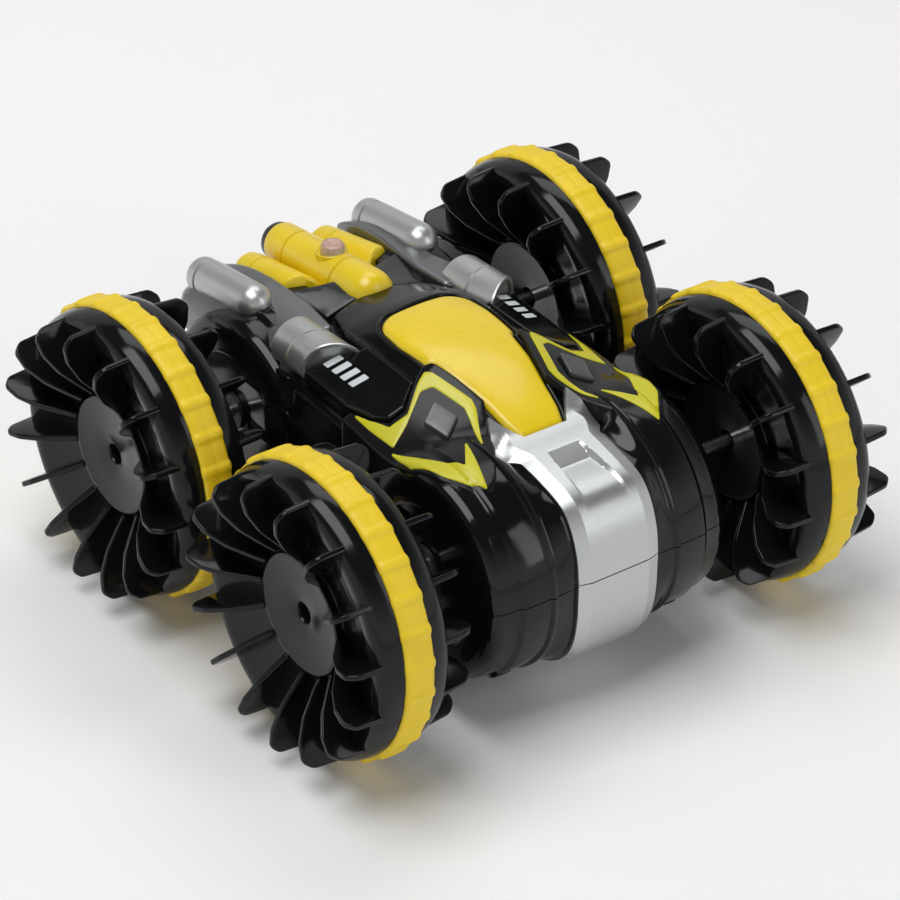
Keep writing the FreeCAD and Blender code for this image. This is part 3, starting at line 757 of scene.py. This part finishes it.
def nose_start(v):
    """Where the guard begins at a part v of its width: level at the canopy, then a horn."""
    if v < 0.45:
        return 53.4, v / 0.45 * 8.3
    if v < 0.52:
        return 53.4 - (v - 0.45) / 0.07 * 1.6, 8.3 + (v - 0.45) / 0.07 * 0.9
    return 51.8 - (v - 0.52) / 0.48 * 8.2, 9.2 + (v - 0.52) / 0.48 * 6.0


def across(x, v):
    """Distance from the middle at a part v of the width; the recess's edge is one column."""
    part = abs(v)
    edge = RECESS_EDGE * (1 + max(0.0, x - RECESS_REAR) * 0.0141)
    if part < RECESS_EDGE:
        part *= edge / RECESS_EDGE
    elif part < CREASE:
        part = edge + (part - RECESS_EDGE) / (CREASE - RECESS_EDGE) * (CREASE - edge)
    return math.copysign(part, v)


def recess(x, v):
    """Depth of the scoop pressed into the top of the guard: steep behind, shallow ahead."""
    deep = max(0.0, min((x - RECESS_REAR) * 0.27, (RECESS_FRONT - x) * 0.118))
    return deep * min(1.0, max(0.0, (RECESS_EDGE - abs(v)) / RECESS_WALL))


def on_nose(i, v):
    """A point of the guard at step i of its side line and a part v (-1 to 1) across."""
    (xa, za), (xb, zb) = NOSE_LINE[max(i - 1, 0)], NOSE_LINE[min(i + 1, len(NOSE_LINE) - 1)]
    x, z = NOSE_LINE[i]
    run = math.hypot(xb - xa, zb - za)
    nx, nz = (za - zb) / run, (xb - xa) / run
    y = across(x, v) * (nose_width(x) if z > 0 else NOSE_Y)
    facet = max(0.0, (abs(v) - CREASE) / (1 - CREASE))
    facet *= facet_drop(x) if z > 0 else FACET_DROP * ramp(x, 50, 62)
    drop = facet + (recess(x, v) if z > 20 else 0.0)
    return x - nx * drop, y, z - nz * drop


def nose_columns():
    """Parts of the half width that carry a line of the mesh, mirrored to both sides."""
    stops, counts = (0, RECESS_EDGE - RECESS_WALL, RECESS_EDGE, CREASE, 1), (10, 3, 8, 6)
    cuts = [a + (b - a) * k / n for a, b, n in zip(stops, stops[1:], counts) for k in range(n)]
    cuts.append(1.0)
    return [-c for c in cuts[:0:-1]] + cuts


def build_nose():
    columns = nose_columns()
    free = next(i for i, p in enumerate(NOSE_LINE) if p[0] > NOSE_FREE)
    seam = len(NOSE_TOP) - 1
    rows_back = 36
    bm = bmesh.new()
    back = []
    for v in columns:
        sx, sy = nose_start(abs(v))
        sign = 1 if v >= 0 else -1
        column = []
        for k in range(rows_back):
            t = k / rows_back
            x = sx + (NOSE_LINE[free][0] - sx) * t
            offset = (sy - abs(v) * nose_width(sx)) * (1 - t) ** 2
            y = sign * (abs(v) * nose_width(x) + offset)
            j = max(i for i in range(free + 1) if NOSE_LINE[i][0] <= x + 1e-6)
            (xa, za), (xb, zb) = NOSE_LINE[j], NOSE_LINE[min(j + 1, free)]
            z = za + (zb - za) * ((x - xa) / (xb - xa) if xb > xa else 0)
            facet = max(0.0, (abs(v) - CREASE) / (1 - CREASE)) * facet_drop(x)
            column.append(bm.verts.new((x, y, z - facet)))
        back.append(column)
    ahead = [[bm.verts.new(on_nose(i, v)) for i in range(free, seam + 1)] for v in columns]
    for a, b, c, d in zip(back, back[1:], ahead, ahead[1:]):
        for line_a, line_b in ((a + c[:1], b + d[:1]), (c, d)):
            ring_faces(bm, line_a, line_b, closed=False)
    nose = make("nose_top", bm, "silver", "body", ["nose_guard_upper"], sharp=9)
    bm = bmesh.new()
    low = [[bm.verts.new(on_nose(i, v)) for i in range(seam + 1, len(NOSE_LINE))]
           for v in columns]
    for a, b in zip(low, low[1:]):
        ring_faces(bm, a, b, closed=False)
    chin = make("nose_chin", bm, "silver", "body", ["nose_guard_lower"], sharp=9)
    for obj in (nose, chin):
        skin = obj.modifiers.new("thickness", "SOLIDIFY")
        skin.thickness, skin.offset, skin.use_even_offset = 2.0 * MM, -1, True
        edge = obj.modifiers.new("edges", "BEVEL")
        edge.width, edge.segments, edge.limit_method = 0.35 * MM, 3, "ANGLE"
        edge.angle_limit = math.radians(50)


# ---------------------------------------------------------------- engine and pods
def build_engine():
    """Three tubes that climb towards the canopy, with the power button in the middle one."""
    slope = 0.117
    climb, start = (1, 0, slope), Vector((-93.0, 0, 28.3))
    bm = bmesh.new()
    profile = [(0, 0.2), (6.3, 0.2), (6.9, 0.5), (7.25, 1.2), (7.4, 2.4), (7.5, 10.8),
               (6.9, 11.1), (6.9, 11.6), (7.6, 11.9), (8.1, 39.0), (7.5, 39.3), (7.5, 39.8),
               (8.15, 40.1), (8.3, 51.0), (8.1, 53.0), (7.5, 54.8), (6.5, 56.4), (4.6, 57.8),
               (0, 58.6)]
    turned(bm, profile, start, climb, 96)
    make("engine_barrel", bm, "canopy_yellow", "body", ["engine_cover"], sharp=32)
    for side, sy in SIDES.items():
        bm = bmesh.new()
        profile = [(0, 0), (4.6, 0), (5.6, 0.5), (6.2, 1.5), (6.4, 3.2), (6.5, 9.0), (6.1, 9.3),
                   (6.1, 9.6), (6.5, 9.9), (6.6, 31.6), (6.2, 32.6), (5.2, 33.2), (0, 33.2)]
        turned(bm, profile, (-90.5, sy * 15.0, 24.2), (1, 0, 0.2), 72)
        for v in bm.verts:
            v.co.x -= 0.5 * (abs(v.co.y) - 15.0) * ramp(v.co.x, -72, -58)
        make("engine_tube_" + side, bm, "canopy_yellow", "body", ["engine_cover"], sharp=32)
    bm = bmesh.new()
    side_slab(bm, [(-89, 15), (-89, 25.5), (-52, 33.5), (-51, 15)], 12.0, 1.0, 1.5)
    make("engine_saddle", bm, "canopy_yellow", "body", ["engine_cover"])
    bm = bmesh.new()
    turned(bm, [(0, 0), (5.0, 0), (5.9, 0.4), (6.4, 1.2), (6.6, 2.2), (6.6, 3.4), (0, 3.4)],
           start - Vector((3.2, 0, 3.2 * slope)), climb, 72)
    make("engine_cap", bm, "trim_black", "body", ["engine_end_cap"])
    bm = bmesh.new()
    turned(bm, [(0, 0), (5.5, 0), (5.5, 7.2), (5.2, 7.5), (4.6, 7.3), (4.5, 1.0), (0, 1.0)],
           (BUTTON_X, 0, 32.4), (-slope, 0, 1), 64)
    make("button_socket", bm, "canopy_yellow", "body", ["engine_cover"])
    bm = bmesh.new()
    foot = 35.6
    top = BUTTON_TOP - foot
    turned(bm, [(0, 0), (4.0, 0), (4.15, 0.2), (4.15, top - 1.5), (3.9, top - 0.7),
                (3.4, top - 0.15), (3.0, top), (0, top)], (BUTTON_X, 0, foot), (0, 0, 1), 64)
    make("button_lens", bm, "button_clear", "button", ["power_button"])
    bm = bmesh.new()
    turned(bm, [(0, top - 1.2), (2.9, top - 1.2), (3.05, top - 1.1), (3.05, top - 0.9),
                (2.8, top - 0.6), (0, top - 0.5)], (BUTTON_X, 0, foot), (0, 0, 1), 48)
    make("button_disc", bm, "button_gold", "button", ["power_button"])


def build_shoulders():
    half = [(-30, 22.5, 2), (-46, 20.6, 6), (-58, 21.0, 4), (-76, 22.0, 8), (-93, 22.8, 3),
            (-96, 26, 3), (-95.6, 37.5, 5), (-89, 42.6, 8), (-70, 45.0, 10), (-46, 44.6, 4),
            (-36, 40.5, 2), (-28, 38, 3)]
    for side, sy in SIDES.items():
        bm = bmesh.new()
        pillow(bm, smooth_corners(half, 2.0, 1.6), shoulder_z, 14.0, rim=1.4, side=sy, grid=2.0)
        make("shoulder_" + side, bm, "gunmetal", "body", ["shoulder_panel_" + side])
        bm = bmesh.new()
        facet = smooth_corners([(-38.6, 7.0), (-38.6, 18.9), (-56.2, 20.8), (-51.0, 7.4)], 0.4, 1.6)
        pillow(bm, facet, lambda x, y: 36.3 - 0.031 * (x + 51.5) - (y - 9.2) *
               (0.17 + 0.0075 * (x + 51.5)), 20.0, rim=0.25, side=sy, grid=2.4)
        make("shoulder_web_" + side, bm, "web_dark", "body", ["shoulder_panel_" + side])
        bm = bmesh.new()
        r = 6.4
        profile = [(0, 0), (4.4, 0), (5.6, 0.3), (6.1, 1.0), (r - 0.1, 2.0), (r - 0.1, 4.8),
                   (r - 0.8, 5.1), (r - 0.8, 5.7), (r, 6.1), (r, 31.4)]
        profile += [(r * math.cos(a), 31.4 + r * math.sin(a) * 1.05)
                    for a in (math.pi / 2 * k / 10 for k in range(1, 10))] + [(0, 38.1)]
        turned(bm, profile, (-91.2, sy * POD_Y, 28.5), (1, 0, 0.155), 72)
        make("pod_" + side, bm, "silver", "body", ["rear_pod_" + side], sharp=32)
        bm = bmesh.new()
        hollow = smooth_corners([(-56, 29.0), (-50.4, 31.0), (-50.4, 35.6), (-56, 38.0),
                                 (-80, 39.6), (-80, 27.2)], 2.5, 1.6)
        pillow(bm, hollow, lambda x, y: shoulder_z(x, y) + 0.12, 20.0, rim=0.3, side=sy, grid=3)
        make("pod_recess_" + side, bm, "trim_black", "body", ["shoulder_panel_" + side])


def build_intakes():
    """Silver scoops behind the rails: half tubes with a slanted mouth."""
    outer_r, inner_r, steps = 8.8, 7.7, 40
    rear, arc_start, arc = -37.8, -22, 224

    def mouth(y):
        return -19.2 + (41.5 - y) * 0.62

    for side, sy in SIDES.items():
        bm = bmesh.new()
        rows = []
        stations = [(outer_r - 2.2, -1, 0), (outer_r - 0.9, -1, 0.25), (outer_r - 0.2, -1, 0.9),
                    (outer_r, -1, 1.9), (outer_r, 0.44, 0), (outer_r - 0.5, 0.46, 0),
                    (outer_r - 0.5, 0.478, 0), (outer_r + 0.05, 0.50, 0), (outer_r + 0.05, 0.95, 0),
                    (outer_r + 0.25, 0.972, 0), (outer_r + 0.05, 1.0, 0), (inner_r + 0.3, 1.0, 0),
                    (inner_r, 0.985, 0), (inner_r, 0.93, 0), (inner_r - 1.2, 0.91, 0)]
        for r, part, ahead in stations:
            row = []
            for k in range(steps + 1):
                a = math.radians(arc_start + arc * k / steps)
                y = POD_Y + r * math.cos(a)
                x = rear + ahead if part < 0 else rear + 2 + (mouth(y) - rear - 2) * part
                z = 30.5 + 0.065 * (x - rear) + r * math.sin(a)
                row.append(bm.verts.new((x, sy * y, z)))
            rows.append(row)
        for a, b in zip(rows, rows[1:]):
            ring_faces(bm, a, b, closed=False)
        bm.faces.new(rows[0])
        bm.faces.new(rows[-1])
        for k in (0, -1):
            bm.faces.new([row[k] for row in rows])
        make("intake_" + side, bm, "silver", "body", ["intake_pod_" + side], sharp=32)


# ------------------------------------------------------------------- side shields
SHIELD = [(6.6, 45.2), (6.8, 41.8, 0.8), (16, 39.9, 3), (21.4, 37.4, 1.5), (22.0, 31.8, 2),
          (17.4, 25, 6), (14.2, 19.4, 1.4), (16, 17.1, 1.2), (25.6, 14.4, 8), (37, 11.9, 1.5),
          (42, 14.2, 3), (46.5, 17.2, 3), (54, 20.2, 3), (60, 24, 5), (66, 28.2, 4),
          (69.6, 32.8, 1.5), (66, 37.5, 4), (57, 43.4, 5), (46, 45.4, 5), (28, 45.8, 3)]
UPPER_BAND = [(7.4, 42.3), (16.0, 40.7), (23.2, 38.4), (24.2, 32.2), (18.6, 24.2),
              (17.2, 20.8, 0.8), (19.4, 19.2, 1.4), (34.8, 15.0, 2), (38, 15.6, 1), (54.3, 24.3),
              (39.8, 19.4, 2), (35.5, 18.4, 1.5), (23, 21.6, 1.5), (21.4, 25.2, 1.5),
              (27.0, 34.4, 4), (30.4, 42.0), (18.5, 42.8)]
LOWER_BAND = [(30.4, 43.8), (44.2, 40.2, 8), (57.1, 33.9), (45.4, 25.5), (68.3, 33.5),
              (56.6, 42.0, 8), (44.0, 45.0, 0.8)]
SCOOP = [(27.6, 24.6), (37.0, 22.0), (41.0, 28.8), (31.8, 31.4)]


def build_shields():
    for side, sy in SIDES.items():
        bm = bmesh.new()
        pillow(bm, smooth_corners(SHIELD, 1.0, 1.4), shield_z, 16.0, rim=0.9, side=sy, grid=1.2)
        make("shield_" + side, bm, "shield_black", "body", ["side_shield_" + side])
        bm = bmesh.new()
        for band in (UPPER_BAND, LOWER_BAND):
            pillow(bm, smooth_corners(band, 0.35, 1.2),
                   lambda x, y: shield_z(x, y) + 0.32, 20.0, rim=0.2, side=sy, grid=1.2,
                   steps=2)
        make("bands_" + side, bm, "chartreuse", "body", ["side_shield_" + side])
        bm = bmesh.new()
        pillow(bm, smooth_corners(SCOOP, 0.6, 1.0),
               lambda x, y: shield_z(29, 24) + 1.5 - 0.28 * (x - 29) - 0.30 * (y - 24), 22.0,
               rim=0.5, side=sy, grid=1.6)
        make("shield_scoop_" + side, bm, "shield_grey", "body", ["side_shield_" + side])


# ------------------------------------------------------------- stage, light, camera
def build_stage():
    bm = bmesh.new()
    depth, rise, bend = 2.6, 2.4, 0.9
    outline = [(-3.0, 0.0), (depth - bend, 0.0)]
    outline += [(depth - bend + bend * math.sin(t), bend * (1 - math.cos(t)))
                for t in (math.pi / 2 * k / 16 for k in range(1, 17))]
    outline.append((depth, rise))
    rows = []
    turn = Matrix.Rotation(math.radians(CAMERA_AZ), 4, "Z")
    for x in (-3.5, 3.5):
        rows.append([bm.verts.new(turn @ Vector((x, y, z + GROUND * MM - 0.0004)))
                     for y, z in outline])
    ring_faces(bm, rows[0], rows[1], closed=False)
    for f in bm.faces:
        f.smooth = True
    mesh = bpy.data.meshes.new("backdrop")
    bm.to_mesh(mesh)
    obj = bpy.data.objects.new("backdrop", mesh)
    bpy.context.collection.objects.link(obj)
    paper = Shader("paper", (0.95, 0.95, 0.95), 0.9)
    paper.roughen(paper.noise(30, 2), 0.03)
    mesh.materials.append(paper.mat)


def direction(azimuth, elevation):
    """Unit vector from the car towards a place seen at these angles, in degrees."""
    a, e = math.radians(azimuth), math.radians(elevation)
    return Vector((math.sin(a) * math.cos(e), -math.cos(a) * math.cos(e), math.sin(e)))


def softbox(name, azimuth, elevation, distance, size, watts):
    """An area light that looks at the middle of the car."""
    light = bpy.data.lights.new(name, "AREA")
    light.shape, light.size, light.size_y, light.energy = "RECTANGLE", size[0], size[1], watts
    obj = bpy.data.objects.new(name, light)
    obj.location = direction(azimuth, elevation) * distance
    obj.rotation_mode = "QUATERNION"
    obj.rotation_quaternion = (-obj.location).to_track_quat("-Z", "Y")
    bpy.context.collection.objects.link(obj)


def build_camera():
    cam = bpy.data.cameras.new("camera")
    cam.lens, cam.sensor_width = CAMERA_LENS, 36
    cam.clip_start, cam.clip_end = 0.05, 50
    obj = bpy.data.objects.new("camera", cam)
    back = direction(CAMERA_AZ, CAMERA_EL)
    obj.location = CAMERA_AIM + back * CAMERA_DISTANCE
    obj.rotation_mode = "QUATERNION"
    roll = Matrix.Rotation(math.radians(CAMERA_ROLL), 3, "Z").to_quaternion()
    obj.rotation_quaternion = (-back).to_track_quat("-Z", "Y") @ roll
    bpy.context.collection.objects.link(obj)
    bpy.context.scene.camera = obj


def build_light():
    """White all round the horizon and darker overhead, with soft boxes for the tops."""
    world = bpy.data.worlds.new("studio")
    world.use_nodes = True
    tree = world.node_tree
    sky = tree.nodes["Background"]
    sky.inputs["Strength"].default_value = 0.88
    split = tree.nodes.new("ShaderNodeSeparateXYZ")
    tree.links.new(tree.nodes.new("ShaderNodeTexCoord").outputs["Generated"], split.inputs[0])
    ramp_node = tree.nodes.new("ShaderNodeMapRange")
    for key, v in (("From Min", 0.15), ("From Max", 0.65), ("To Min", 1.0), ("To Max", 0.08)):
        ramp_node.inputs[key].default_value = v
    tree.links.new(split.outputs["Z"], ramp_node.inputs["Value"])
    tree.links.new(ramp_node.outputs["Result"], sky.inputs["Color"])
    bpy.context.scene.world = world
    softbox("key", CAMERA_AZ - 60, 74, 1.6, (1.2, 0.9), 17)
    softbox("fill", CAMERA_AZ + 60, 28, 1.6, (0.4, 1.0), 3)
    softbox("top", CAMERA_AZ + 175, 60, 1.6, (1.1, 0.6), 5.5)
    bpy.context.scene.view_settings.view_transform = "Standard"


# --------------------------------------------------------------------- all together
def dress_frame():
    """Every CAD node gets the finish of its slot; the ones that stay show it."""
    for node, obj in frame["nodes"].items():
        obj.data.materials.clear()
        obj.data.materials.append(MATS[SLOT[node]])


build_camera()
build_light()
build_stage()
dress_frame()
build_wheels()
build_barrels()
build_deck()
build_tail()
build_underside()
build_hood()
build_canopy()
build_nose()
build_engine()
build_shoulders()
build_intakes()
build_shields()
